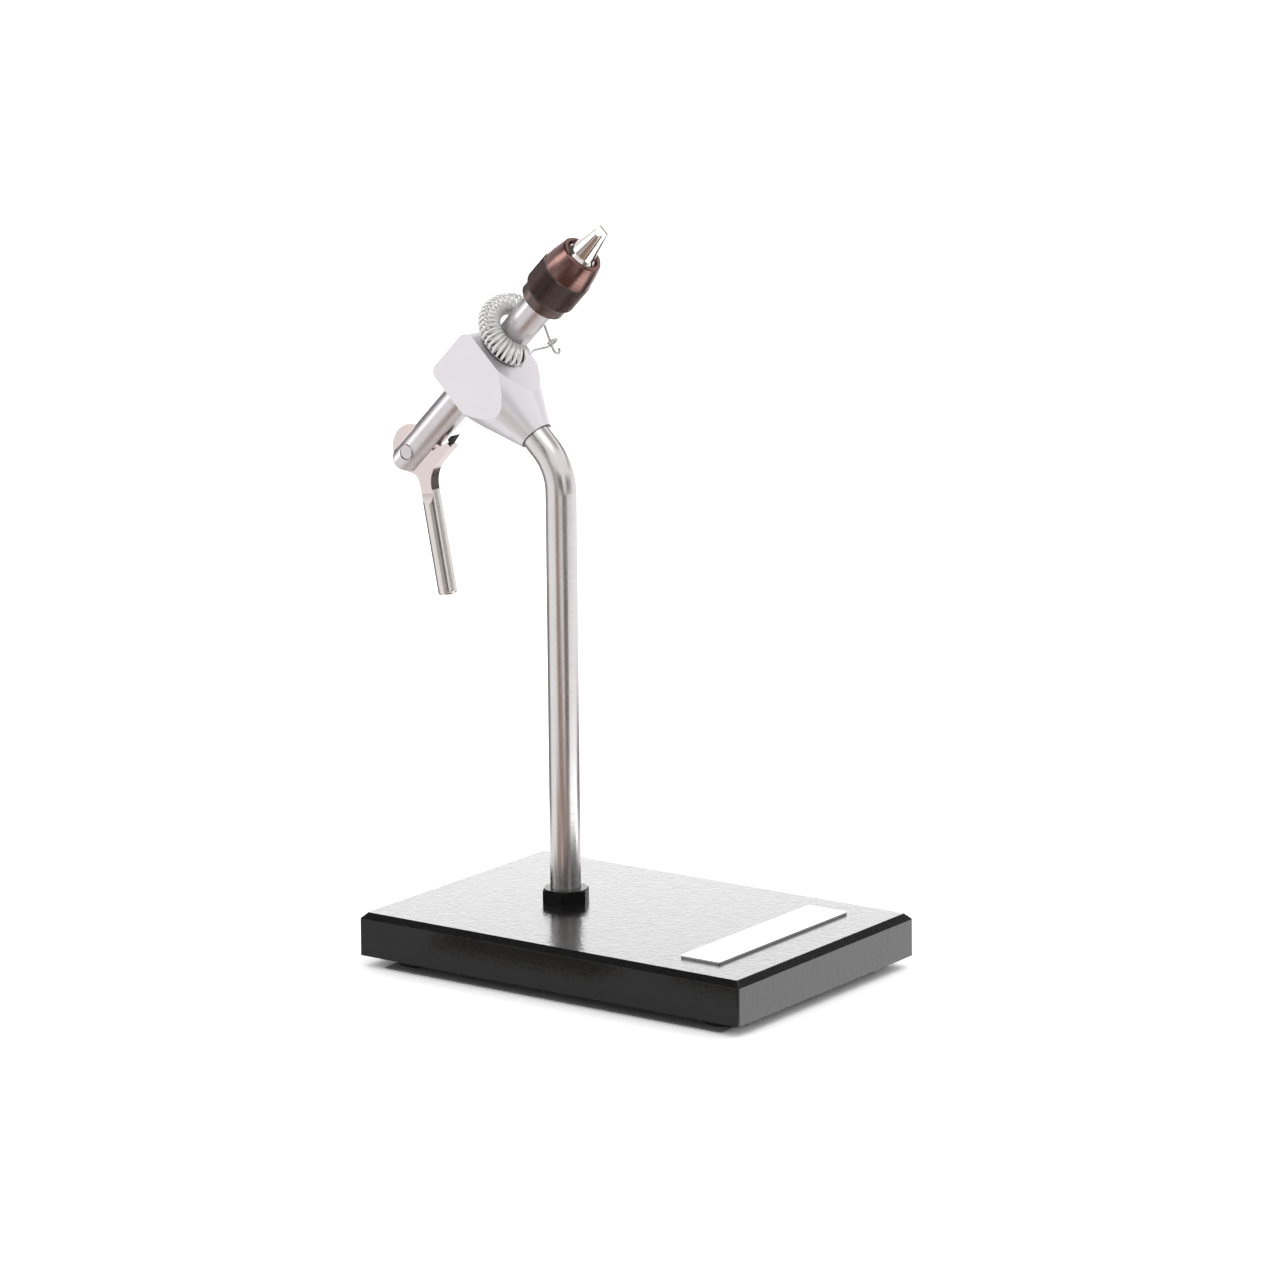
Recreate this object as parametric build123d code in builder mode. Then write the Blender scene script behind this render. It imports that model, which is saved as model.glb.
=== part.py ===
"""Fly tying vise on a pedestal base.

A bent post stands on a heavy plate and carries an aluminium head. A barrel turns in the
head on two bushings. A cam lever at the rear of the barrel pulls a draw bar, which draws
two jaws into the cone of a knurled collar, and they close on the hook.

Millimetres, +Z up. The origin is on the table under the middle of the base plate, +X runs
along the plate to the side that the jaws point to. At rest the lever is down, jaws closed.
"""

import math
import os

from build123d import *

# Base plate
base_length = 152.4
base_width = 101.6
base_thickness = 14.6
base_chamfer = 1.95
base_corner_radius = 0.7

# Feet and their screws
foot_diameter = 16.0
foot_height = 3.8
foot_draft = 0.4
foot_inset = 14.5
foot_recess_depth = 2.0
foot_screw_diameter = 3.5
foot_screw_head_diameter = 6.4
foot_screw_head_height = 1.4
foot_screw_grip = 7.0

# Bare name plate, set back from the front end of the base plate
strip_length = 74.0
strip_width = 15.2
strip_thickness = 0.9
strip_setback = 16.9
strip_corner_radius = 0.5

# Post, its bend and its jam nut
post_diameter = 10.3
post_offset = 28.6
post_corner_height = 146.6
post_bend = 45.5
post_bend_radius = 19.5
post_thread_engagement = 13.0
post_end_chamfer = 0.6
nut_across_flats = 14.3
nut_height = 4.5
nut_turn = -2.5
nut_corner_angle = 30.0

# Head: turned cone on the neck, milled square above it
neck_to_barrel = 42.9
neck_reach = 29.2
neck_end_diameter = 11.7
neck_half_angle = 24.3
head_square = 21.5
head_cap = 4.45
head_rear_round = 3.0
head_front_round = 4.0
socket_floor = 2.6
post_screw_diameter = 4.0
post_screw_drop = 13.5
tension_screw_diameter = 5.0
tension_screw_length = 3.4
screw_sink = 0.4
hex_key = 2.2
hex_depth = 1.6

# Bushings
bushing_wall = 1.4
bushing_length = 8.0
flange_overhang = 1.1
flange_thickness = 1.25

# Barrel
barrel_diameter = 11.1
barrel_bore = 7.8
barrel_front = 50.0
pin_reach = 42.0
clevis_end = 7.0
clevis_edge = 0.7
slot_width = 4.6
groove_width = 4.4
groove_depth = 0.5

# Material spring
wire_diameter = 0.6
coil_diameter = 6.9
coil_count = 25
spring_reach = 19.6
spring_tilt = 13.4
spring_lean = 6.7
spring_lift = 0.4
spring_span = 240.0
spring_start = -108.0
spring_slack = 0.75
eye_radius = 1.7
hook_radius = 1.4
link_radius = 11.6
link_rise = 0.6

# Collar
collar_front = 57.9
collar_length = 23.9
collar_wall = 2.4
collar_ring_length = 4.2
knurl_rise = 1.15
knurl_length = 11.0
knurl_edge = 0.7
nose_bulge = 0.2
rim_round = 0.4
rim_lip = 1.4

# Jaws
jaw_set_back = 0.7
jaw_seat_diameter = 10.9
seat_half_angle = 20.0
jaw_root_diameter = 8.7
jaw_shoulder = 1.3
jaw_tip = 69.8
jaw_tip_height = 4.1
jaw_tip_thickness = 1.4
jaw_flat_length = 4.2
jaw_shank_diameter = 6.8
jaw_rear = 34.5
jaw_gap = 0.3
jaw_relief = 0.8
jaw_tip_land = 8.5
jaw_pivot = 37.5

# Draw bar and jaw spring
button_diameter = 4.4
button_length = 2.0
button_neck_diameter = 3.0
button_room = 0.2
jaw_spring_reach = 45.0
jaw_spring_diameter = 2.4
jaw_spring_wire = 0.4
jaw_spring_turns = 3
jaw_spring_pocket = 2.2

# Cam lever
lever_thickness = 4.3
lever_drop = 55.5
cam_radius = 8.4
cam_shift = (0.6, 0.4)
handle_diameter = 6.5
handle_reach = 49.5
handle_end_round = 1.2
handle_ledge = 13.8
handle_shoulder = 14.5
runout_radius = 8.0
waist_round = 4.0
throat_round = 9.5
scoop_depth = 1.0
horn_root = 8.6
horn_root_drop = 6.0
horn_reach = 13.2
horn_drop = 7.6
horn_height = 2.1
pad_length = 4.4
pad_height = 1.9
pad_width = 2.2
pad_lift = 1.0
pad_crest = 2.0
pad_nose = 0.5
pin_head_diameter = 5.0
pin_head_height = 1.2
pin_head_chamfer = 0.25
pin_ring_gap = 0.25
pin_shank_diameter = 3.2
follower_diameter = 1.5
cam_start_radius = 3.2
cam_throw = 1.1
cam_turn = 90.0

# Clearances
running = 0.05
sliding = 0.1
loose = 0.3
seat_room = 0.15

# Levels and directions worked out from the sizes above
barrel_radius = barrel_diameter / 2
base_top = foot_height + base_thickness
post_x = -post_offset
post_radius = post_diameter / 2
corner_z = base_top + post_corner_height
bend = math.radians(post_bend)
barrel_dir = Vector(math.cos(bend), 0, math.sin(bend))
neck_dir = Vector(-math.sin(bend), 0, math.cos(bend))
across_dir = Vector(0, 1, 0)
head_centre = Vector(post_x, 0, corner_z) + neck_dir * neck_to_barrel


def at(along, above=0.0, across=0.0):
    """Point given along the barrel's axis, above it in the vise's mid plane, and across."""
    return head_centre + barrel_dir * along + neck_dir * above + across_dir * across


side = Plane(origin=head_centre, x_dir=barrel_dir, z_dir=(0, -1, 0))
barrel_axis = Axis(head_centre, barrel_dir)
neck_axis = Axis(head_centre, neck_dir)


def square_to_barrel(along):
    """Plane square to the barrel's axis, looking forward."""
    return Plane(origin=at(along), x_dir=across_dir, z_dir=barrel_dir)


def square_to_neck(above):
    """Plane square to the neck's axis, looking up the neck."""
    return Plane(origin=at(0, above), x_dir=barrel_dir, z_dir=neck_dir)


def biarc(start, start_tangent, end, end_tangent):
    """Two arcs from one point and direction to another, as (point, tangent, point) steps."""
    chord = end - start
    both = start_tangent + end_tangent
    spread = 2 * (1 - start_tangent.dot(end_tangent))
    reach = chord.dot(both)
    leg = (math.sqrt(reach**2 + spread * chord.dot(chord)) - reach) / spread
    first = start + start_tangent * leg
    second = end - end_tangent * leg
    middle = (first + second) * 0.5
    turn = (second - first).normalized()
    return [(start, start_tangent, middle), (middle, turn, end)]


def least_gap(route, wire, apart):
    """Smallest gap between stretches of a wire that lie further apart than a length along it."""
    step = wire / 3
    count = math.ceil(route.length / step)
    points = [tuple(route.position_at(k / count)) for k in range(count + 1)]
    skip = math.ceil(apart / step)
    nearest = min(math.dist(p, q) for i, p in enumerate(points) for q in points[i + skip :])
    return nearest - wire


# Base plate
foot_places = [
    (sx * (base_length / 2 - foot_inset), sy * (base_width / 2 - foot_inset))
    for sx in (-1, 1)
    for sy in (-1, 1)
]


def chamfered(width):
    """Outline of the base plate seen from one side, its upper corners cut off."""
    half = width / 2
    cut = base_chamfer
    return [
        (-half, foot_height),
        (half, foot_height),
        (half, base_top - cut),
        (half - cut, base_top),
        (cut - half, base_top),
        (-half, base_top - cut),
    ]


with BuildPart() as base_plate:
    with BuildSketch(Plane.XY.offset(foot_height)):
        RectangleRounded(base_length, base_width, base_corner_radius)
    extrude(amount=base_thickness)
    with BuildSketch(Plane.XZ):
        Polygon(*chamfered(base_length), align=None)
    extrude(amount=base_width / 2, both=True, mode=Mode.INTERSECT)
    with BuildSketch(Plane.YZ):
        Polygon(*chamfered(base_width), align=None)
    extrude(amount=base_length / 2, both=True, mode=Mode.INTERSECT)
    with BuildSketch(Plane.XY.offset(base_top)):
        with Locations((post_x, 0)):
            Circle(post_radius + running)
    extrude(amount=-base_thickness, mode=Mode.SUBTRACT)
    with BuildSketch(Plane.XY.offset(foot_height)):
        with Locations(*foot_places):
            Circle(foot_screw_diameter / 2 + running)
    extrude(amount=foot_screw_grip + loose, mode=Mode.SUBTRACT)

# Feet
with BuildPart() as rubber_feet:
    with BuildSketch(Plane.XY.offset(foot_height)):
        with Locations(*foot_places):
            Circle(foot_diameter / 2)
    extrude(amount=-foot_height, taper=math.degrees(math.atan(foot_draft / foot_height)))
    with BuildSketch():
        with Locations(*foot_places):
            Circle(foot_screw_head_diameter / 2 + sliding)
    extrude(amount=foot_recess_depth, mode=Mode.SUBTRACT)
    with BuildSketch():
        with Locations(*foot_places):
            Circle(foot_screw_diameter / 2 + running)
    extrude(amount=foot_height, mode=Mode.SUBTRACT)

with BuildPart() as foot_screws:
    with BuildSketch(Plane.XY.offset(foot_recess_depth)):
        with Locations(*foot_places):
            Circle(foot_screw_head_diameter / 2)
    extrude(amount=-foot_screw_head_height)
    with BuildSketch(Plane.XY.offset(foot_recess_depth)):
        with Locations(*foot_places):
            Circle(foot_screw_diameter / 2)
    extrude(amount=foot_height - foot_recess_depth + foot_screw_grip)

# Name plate, bare
with BuildPart() as name_plate:
    with BuildSketch(Plane.XY.offset(base_top)):
        with Locations((base_length / 2 - strip_setback - strip_width / 2, 0)):
            RectangleRounded(strip_width, strip_length, strip_corner_radius)
    extrude(amount=strip_thickness)

# Post
bushing_radius = barrel_radius + running + bushing_wall
stub_end = -(bushing_radius + socket_floor)
post_foot = base_top - post_thread_engagement
with BuildPart() as post:
    with BuildLine(Plane.XZ) as post_route:
        stub = at(0, stub_end)
        corners = [(post_x, post_foot), (post_x, corner_z), (stub.X, stub.Z)]
        FilletPolyline(*corners, radius=post_bend_radius)
    with BuildSketch(Plane.XY.offset(post_foot).move(Location((post_x, 0, 0)))):
        Circle(post_radius)
    sweep()
    chamfer(post.edges().filter_by(GeomType.CIRCLE).sort_by(Axis.Z)[0], post_end_chamfer)

# Jam nut, its upper corners turned off
with BuildPart() as jam_nut:
    with BuildSketch(Plane.XY.offset(base_top).move(Location((post_x, 0, 0)))):
        RegularPolygon(nut_across_flats / 2, 6, major_radius=False, rotation=nut_turn)
        Circle(post_radius + running, mode=Mode.SUBTRACT)
    extrude(amount=nut_height)
    with BuildSketch(Plane.XZ):
        with BuildLine():
            corner = nut_across_flats / math.sqrt(3)
            flat = nut_across_flats / 2
            level = base_top + nut_height
            shoulder = level - (corner - flat) * math.tan(math.radians(nut_corner_angle))
            Polyline(
                (post_x, base_top),
                (post_x + corner + loose, base_top),
                (post_x + corner + loose, shoulder),
                (post_x + corner, shoulder),
                (post_x + flat, level),
                (post_x, level),
                close=True,
            )
        make_face()
    revolve(axis=Axis((post_x, 0, 0), (0, 0, 1)), mode=Mode.INTERSECT)

# Head
neck_radius = neck_end_diameter / 2
cone_radius = head_square / math.sqrt(2) + loose
cone_top = (cone_radius - neck_radius) / math.tan(math.radians(neck_half_angle)) - neck_reach
head_rise = barrel_radius + head_cap
with BuildPart() as head:
    with BuildSketch(side):
        Polygon(
            (0, -neck_reach),
            (neck_radius, -neck_reach),
            (cone_radius, cone_top),
            (cone_radius, head_rise),
            (0, head_rise),
            align=None,
        )
    revolve(axis=neck_axis)
    with BuildSketch(square_to_neck(-neck_reach)):
        Rectangle(head_square, head_square)
    extrude(amount=neck_reach + head_rise, mode=Mode.INTERSECT)
    top_edges = head.faces().sort_by(neck_axis)[-1].edges().sort_by(barrel_axis)
    fillet(top_edges[-1], head_front_round)
    top_edges = head.faces().sort_by(neck_axis)[-1].edges().sort_by(barrel_axis)
    fillet(top_edges[0], head_rear_round)
    with BuildSketch(square_to_barrel(-head_square / 2)):
        Circle(bushing_radius + running)
    extrude(amount=head_square, mode=Mode.SUBTRACT)
    with BuildSketch(square_to_neck(-neck_reach)):
        Circle(post_radius + running)
    extrude(amount=neck_reach + stub_end + running, mode=Mode.SUBTRACT)
    with BuildSketch(square_to_neck(head_rise)):
        Circle(tension_screw_diameter / 2 + running)
    extrude(amount=-head_rise, mode=Mode.SUBTRACT)
    with BuildSketch(Plane(at(-head_square / 2, -post_screw_drop), across_dir, barrel_dir)):
        Circle(post_screw_diameter / 2 + running)
    extrude(amount=head_square / 2, mode=Mode.SUBTRACT)

# Bushings: flanged at the front, plain at the rear, apart in the middle for the tension tip
with BuildPart() as front_bushing:
    with BuildSketch(square_to_barrel(head_square / 2)):
        Circle(bushing_radius)
    extrude(amount=-bushing_length)
    with BuildSketch(square_to_barrel(head_square / 2)):
        Circle(bushing_radius + flange_overhang)
    extrude(amount=flange_thickness)
    with BuildSketch(square_to_barrel(head_square / 2 - bushing_length)):
        Circle(barrel_radius + running)
    extrude(amount=bushing_length + flange_thickness, mode=Mode.SUBTRACT)

with BuildPart() as rear_bushing:
    with BuildSketch(square_to_barrel(-head_square / 2)):
        Circle(bushing_radius)
        Circle(barrel_radius + running, mode=Mode.SUBTRACT)
    extrude(amount=bushing_length)

# Screws in the head
groove_floor = barrel_radius - groove_depth
tension_seat = head_rise - screw_sink - tension_screw_length
with BuildPart() as tension_screw:
    with BuildSketch(square_to_neck(tension_seat)):
        Circle(tension_screw_diameter / 2)
    extrude(amount=tension_screw_length)
    with BuildSketch(square_to_neck(tension_seat + tension_screw_length)):
        RegularPolygon(hex_key / 2, 6, major_radius=False)
    extrude(amount=-hex_depth, mode=Mode.SUBTRACT)

with BuildPart() as tension_tip:
    with BuildSketch(square_to_neck(groove_floor + running)):
        Circle(groove_width / 2 - loose)
    extrude(amount=tension_seat - groove_floor - running)

post_screw_tip = -(post_radius + running)
post_screw_back = -(head_square / 2 - screw_sink)
screw_face = Plane(at(post_screw_back, -post_screw_drop), across_dir, barrel_dir)
with BuildPart() as post_screw:
    with BuildSketch(screw_face):
        Circle(post_screw_diameter / 2)
    extrude(amount=post_screw_tip - post_screw_back)
    with BuildSketch(screw_face):
        RegularPolygon(hex_key / 2, 6, major_radius=False)
    extrude(amount=hex_depth, mode=Mode.SUBTRACT)

# Barrel: tube with a slotted, rounded rear end
cam_reach = cam_radius + math.hypot(*cam_shift)
slot_front = -pin_reach + cam_reach + loose
barrel_rear = -(pin_reach + clevis_end)
with BuildPart() as barrel:
    with BuildSketch(square_to_barrel(barrel_rear)):
        Circle(barrel_radius)
    extrude(amount=barrel_front - barrel_rear)
    with BuildSketch(side):
        with Locations((-pin_reach, 0)):
            Circle(clevis_end)
            Rectangle(pin_reach + barrel_front, barrel_diameter, align=(Align.MIN, Align.CENTER))
    extrude(amount=barrel_radius, both=True, mode=Mode.INTERSECT)
    rear_edges = barrel.faces().sort_by(barrel_axis)[0].edges()
    fillet(rear_edges, clevis_edge)
    with BuildSketch(square_to_barrel(barrel_rear)):
        Circle(barrel_bore / 2)
    extrude(amount=barrel_front - barrel_rear, mode=Mode.SUBTRACT)
    with BuildSketch(side):
        with Locations((slot_front, 0)):
            Rectangle(slot_front - barrel_rear, barrel_diameter, align=(Align.MAX, Align.CENTER))
    extrude(amount=slot_width / 2, both=True, mode=Mode.SUBTRACT)
    with BuildSketch(side):
        with Locations((0, barrel_radius)):
            Rectangle(groove_width, 2 * groove_depth)
    revolve(axis=barrel_axis, mode=Mode.SUBTRACT)
    with BuildSketch(side):
        with Locations((-pin_reach, 0)):
            Circle(pin_shank_diameter / 2 + running)
    extrude(amount=barrel_radius, both=True, mode=Mode.SUBTRACT)
    with BuildSketch(side.offset(barrel_radius)):
        with Locations((-pin_reach, 0)):
            Circle(pin_head_diameter / 2 + pin_ring_gap)
    extrude(amount=-pin_head_height - running, mode=Mode.SUBTRACT)

with BuildPart() as lever_pin:
    with BuildSketch(side.offset(barrel_radius - pin_head_height)):
        with Locations((-pin_reach, 0)):
            Circle(pin_head_diameter / 2)
    extrude(amount=pin_head_height)
    chamfer(lever_pin.faces().sort_by(Axis.Y)[0].edges(), pin_head_chamfer)
    with BuildSketch(side.offset(barrel_radius - pin_head_height)):
        with Locations((-pin_reach, 0)):
            Circle(pin_shank_diameter / 2)
    extrude(amount=pin_head_height - 2 * barrel_radius + loose)

# Material spring: an open coil bent round the barrel, its two ends linked by an eye and a hook
coil_radius = (coil_diameter - wire_diameter) / 2
ring_radius = barrel_radius + coil_diameter / 2 + spring_slack
tilt = math.radians(spring_tilt)
lean = math.radians(spring_lean)
ring_centre = at(spring_reach, spring_lift)
ring_lean = barrel_dir * math.cos(lean) - neck_dir * math.sin(lean)
ring_front = ring_lean * math.cos(tilt) - across_dir * math.sin(tilt)
ring_out = ring_lean * math.sin(tilt) + across_dir * math.cos(tilt)
ring_up = ring_front.cross(ring_out)


def ring_radial(angle):
    """Outward direction in the spring's ring at an angle in degrees."""
    a = math.radians(angle)
    return ring_out * math.cos(a) + ring_up * math.sin(a)


def coil_point(turns):
    """Middle of the wire after a number of turns of the coil."""
    phase = 2 * math.pi * turns + math.pi / 2
    radial = ring_radial(spring_start - spring_span * turns / coil_count)
    offset = radial * (ring_radius + coil_radius * math.cos(phase))
    return ring_centre + offset + ring_front * (coil_radius * math.sin(phase))


def coil_tangent(turns):
    """Direction of the wire after a number of turns of the coil."""
    step = 1e-4
    return (coil_point(turns + step) - coil_point(turns - step)).normalized()


link_angle = spring_start + (360 - spring_span) / 2
link = ring_centre + ring_radial(link_angle) * link_radius + ring_front * link_rise
coil_first = coil_point(0)
coil_last = coil_point(coil_count)
near_lead = (link - coil_first).normalized()
far_lead = (link - coil_last).normalized()
lead_bend = 4 * wire_diameter
eye_side = (ring_front - near_lead * ring_front.dot(near_lead)).normalized()
hook_side = (near_lead - far_lead * near_lead.dot(far_lead)).normalized()
eye_entry = link - eye_side * eye_radius
near_lead = (eye_entry - coil_first).normalized()
eye_side = (eye_side - near_lead * eye_side.dot(near_lead)).normalized()
eye_centre = eye_entry + eye_side * eye_radius
far_lead = (eye_centre - coil_last).normalized()
hook_side = (hook_side - far_lead * hook_side.dot(far_lead)).normalized()
hook_entry = eye_centre + far_lead * (2 * wire_diameter)
hook_turn = hook_entry + hook_side * (2 * hook_radius)
half_turns = 2 * coil_count
stops = [k / 2 for k in range(half_turns + 1)]
near_foot = coil_first + near_lead * lead_bend
far_foot = coil_last + far_lead * lead_bend
with BuildPart() as material_spring:
    with BuildLine() as spring_route:
        eye_end = eye_centre - near_lead * eye_radius
        tail = eye_end - eye_side * wire_diameter
        Line(tail, eye_end)
        eye_top = eye_centre + eye_side * eye_radius
        TangentArc(eye_end, eye_top, tangent=eye_side)
        TangentArc(eye_top, eye_centre + near_lead * eye_radius, tangent=near_lead)
        TangentArc(eye_centre + near_lead * eye_radius, eye_entry, tangent=-eye_side)
        Line(eye_entry, near_foot)
        for first, way, last in biarc(near_foot, -near_lead, coil_first, coil_tangent(0)):
            TangentArc(first, last, tangent=way)
        for begin, finish in zip(stops, stops[1:]):
            start, start_way = coil_point(begin), coil_tangent(begin)
            end, end_way = coil_point(finish), coil_tangent(finish)
            for first, way, last in biarc(start, start_way, end, end_way):
                TangentArc(first, last, tangent=way)
        for first, way, last in biarc(coil_last, coil_tangent(coil_count), far_foot, far_lead):
            TangentArc(first, last, tangent=way)
        Line(far_foot, hook_entry)
        hook_top = hook_entry + far_lead * hook_radius + hook_side * hook_radius
        TangentArc(hook_entry, hook_top, tangent=far_lead)
        TangentArc(hook_top, hook_turn, tangent=hook_side)
        Line(hook_turn, hook_turn - far_lead * wire_diameter)
    with BuildSketch(Plane(origin=tail, z_dir=eye_side)):
        Circle(wire_diameter / 2)
    sweep()
spring_gap = least_gap(spring_route.wires()[0], wire_diameter, math.pi * coil_radius)
print(f"material spring: least gap to itself {spring_gap:.2f} mm")

# Collar
collar_rear = collar_front - collar_length
knurl_rear = collar_rear + collar_ring_length
knurl_front = knurl_rear + knurl_length
thread_r = barrel_radius + running
ring_r = thread_r + collar_wall
knurl_r = ring_r + knurl_rise
jaw_seat_front = collar_front - jaw_set_back
seat_slope = math.tan(math.radians(seat_half_angle))
seat_r = jaw_seat_diameter / 2
mouth_r = seat_r + seat_room + jaw_set_back * seat_slope
rim_r = mouth_r + rim_lip
web_r = barrel_bore / 2
web_rear = barrel_front + loose
seat_rear = jaw_seat_front - (seat_r + seat_room - web_r) / seat_slope
with BuildPart() as collar:
    with BuildSketch(side):
        with BuildLine():
            nose_start = (knurl_front, knurl_r - knurl_edge / 2)
            nose_end = (collar_front - rim_round, rim_r)
            nose_middle = (
                (nose_start[0] + nose_end[0]) / 2,
                (nose_start[1] + nose_end[1]) / 2 + nose_bulge,
            )
            Polyline(
                nose_end,
                (collar_front, rim_r - rim_round),
                (collar_front, mouth_r),
                (seat_rear, web_r),
                (web_rear, web_r),
                (web_rear, thread_r),
                (collar_rear, thread_r),
                (collar_rear, ring_r - rim_round),
                (collar_rear + rim_round, ring_r),
                (knurl_rear - knurl_edge, ring_r),
                (knurl_rear, knurl_r - knurl_edge),
                (knurl_rear + knurl_edge, knurl_r),
                (knurl_front - knurl_edge, knurl_r),
                nose_start,
            )
            ThreePointArc(nose_start, nose_middle, nose_end)
        make_face()
    revolve(axis=barrel_axis)

# Draw bar: fork at the rear for the cam plate, button at the front for the jaws
follower_at = -pin_reach + cam_start_radius
fork_rear = follower_at - follower_diameter / 2 - loose
bar_radius = barrel_bore / 2 - sliding
button_rear = jaw_pivot - button_length / 2
bar_front = jaw_rear - jaw_shoulder
with BuildPart() as draw_bar:
    with BuildSketch(side):
        Polygon(
            (fork_rear, 0),
            (fork_rear, bar_radius),
            (bar_front, bar_radius),
            (bar_front, button_neck_diameter / 2),
            (button_rear, button_neck_diameter / 2),
            (button_rear, button_diameter / 2),
            (button_rear + button_length, button_diameter / 2),
            (button_rear + button_length, 0),
            align=None,
        )
    revolve(axis=barrel_axis)
    with BuildSketch(side):
        with Locations((slot_front, 0)):
            Rectangle(slot_front - fork_rear, barrel_bore, align=(Align.MAX, Align.CENTER))
    extrude(amount=slot_width / 2, both=True, mode=Mode.SUBTRACT)
    with BuildSketch(side):
        with Locations((follower_at, 0)):
            Circle(follower_diameter / 2)
    extrude(amount=bar_radius, both=True, mode=Mode.SUBTRACT)

with BuildPart() as follower_pin:
    with BuildSketch(side):
        with Locations((follower_at, 0)):
            Circle(follower_diameter / 2)
    extrude(amount=bar_radius - loose, both=True)

# Jaws: one turned and flattened blank, parted by a slit, hollowed for the button and the spring
shank_r = jaw_shank_diameter / 2
root_r = jaw_root_diameter / 2
tip_r = jaw_tip_height / 2
seat_back = jaw_seat_front - (seat_r - shank_r) / seat_slope
jaw_root = jaw_seat_front + jaw_shoulder
land_start = jaw_tip - jaw_tip_land
button_bore = button_diameter / 2 + loose


def jaw(hand):
    """One jaw; hand is +1 for the far side and -1 for the near side."""
    with BuildPart() as half:
        with BuildSketch(side):
            Polygon(
                (jaw_rear, 0),
                (jaw_rear, shank_r),
                (seat_back, shank_r),
                (jaw_seat_front, seat_r),
                (jaw_root, root_r),
                (jaw_tip, tip_r),
                (jaw_tip, 0),
                align=None,
            )
        revolve(axis=barrel_axis)
        with BuildSketch(Plane(origin=head_centre, x_dir=barrel_dir, z_dir=neck_dir)):
            flat_start = jaw_tip - jaw_flat_length
            Polygon(
                (jaw_rear, hand * jaw_gap / 2),
                (jaw_rear, hand * seat_r),
                (flat_start, hand * seat_r),
                (flat_start, hand * root_r),
                (jaw_tip, hand * jaw_tip_thickness / 2),
                (jaw_tip, hand * jaw_gap / 2),
                (land_start, hand * jaw_gap / 2),
                (land_start, hand * jaw_relief / 2),
                (jaw_pivot + button_length, hand * jaw_relief / 2),
                (jaw_pivot + button_length, hand * jaw_gap / 2),
                align=None,
            )
        extrude(amount=seat_r, both=True, mode=Mode.INTERSECT)
        with BuildSketch(side):
            Polygon(
                (jaw_rear, 0),
                (jaw_rear, button_neck_diameter / 2 + loose),
                (button_rear - button_room, button_neck_diameter / 2 + loose),
                (button_rear - button_room, button_bore),
                (button_rear + button_length + button_room, button_bore),
                (button_rear + button_length + button_room, 0),
                align=None,
            )
        revolve(axis=barrel_axis, mode=Mode.SUBTRACT)
        with BuildSketch(side):
            with Locations((jaw_spring_reach, 0)):
                Circle(jaw_spring_diameter / 2 + loose)
        extrude(amount=-hand * jaw_spring_pocket, mode=Mode.SUBTRACT)
    return half


jaw_far = jaw(1)
jaw_near = jaw(-1)

# Jaw spring
jaw_coil = (jaw_spring_diameter - jaw_spring_wire) / 2
jaw_spring_half = jaw_spring_pocket - jaw_spring_wire / 2 - sliding


def jaw_coil_point(turns):
    """Middle of the jaw spring's wire after a number of turns."""
    a = 2 * math.pi * turns
    level = jaw_spring_half * (2 * turns / jaw_spring_turns - 1)
    return at(jaw_spring_reach + jaw_coil * math.cos(a), jaw_coil * math.sin(a), level)


def jaw_coil_tangent(turns):
    """Direction of the jaw spring's wire after a number of turns."""
    step = 1e-4
    return (jaw_coil_point(turns + step) - jaw_coil_point(turns - step)).normalized()


jaw_stops = [k / 2 for k in range(2 * jaw_spring_turns + 1)]
with BuildPart() as jaw_spring:
    with BuildLine() as jaw_spring_route:
        for begin, finish in zip(jaw_stops, jaw_stops[1:]):
            start, start_way = jaw_coil_point(begin), jaw_coil_tangent(begin)
            end, end_way = jaw_coil_point(finish), jaw_coil_tangent(finish)
            for first, way, last in biarc(start, start_way, end, end_way):
                TangentArc(first, last, tangent=way)
    with BuildSketch(Plane(origin=jaw_coil_point(0), z_dir=jaw_coil_tangent(0))):
        Circle(jaw_spring_wire / 2)
    sweep()
jaw_spring_gap = least_gap(jaw_spring_route.wires()[0], jaw_spring_wire, math.pi * jaw_coil)
print(f"jaw spring: least gap to itself {jaw_spring_gap:.2f} mm")

# Cam lever: plate and handle in one piece, the handle's rear edge in line with the pin
handle_tilt = math.radians(lever_drop)
pin_side = Plane(origin=at(-pin_reach), x_dir=barrel_dir, z_dir=(0, -1, 0))
handle_dir = barrel_dir * -math.cos(handle_tilt) + neck_dir * -math.sin(handle_tilt)
front_dir = barrel_dir * math.sin(handle_tilt) + neck_dir * -math.cos(handle_tilt)
handle_radius = handle_diameter / 2
half_plate = lever_thickness / 2
horn_low = -(horn_drop + horn_height)
throat_forward = handle_diameter - scoop_depth


def on_handle(down, forward):
    """Point of the lever's sketch, down the handle from the pin and forward of its rear edge."""
    along = -down * math.cos(handle_tilt) + forward * math.sin(handle_tilt)
    above = -down * math.sin(handle_tilt) - forward * math.cos(handle_tilt)
    return (along, above)


def cam_point(share):
    """Point of the cam slot's middle line, from shut (0) to open (1)."""
    turned = math.radians(cam_turn) * share
    radius = cam_start_radius + cam_throw * share
    return (radius * math.cos(turned), radius * math.sin(turned))


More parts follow.
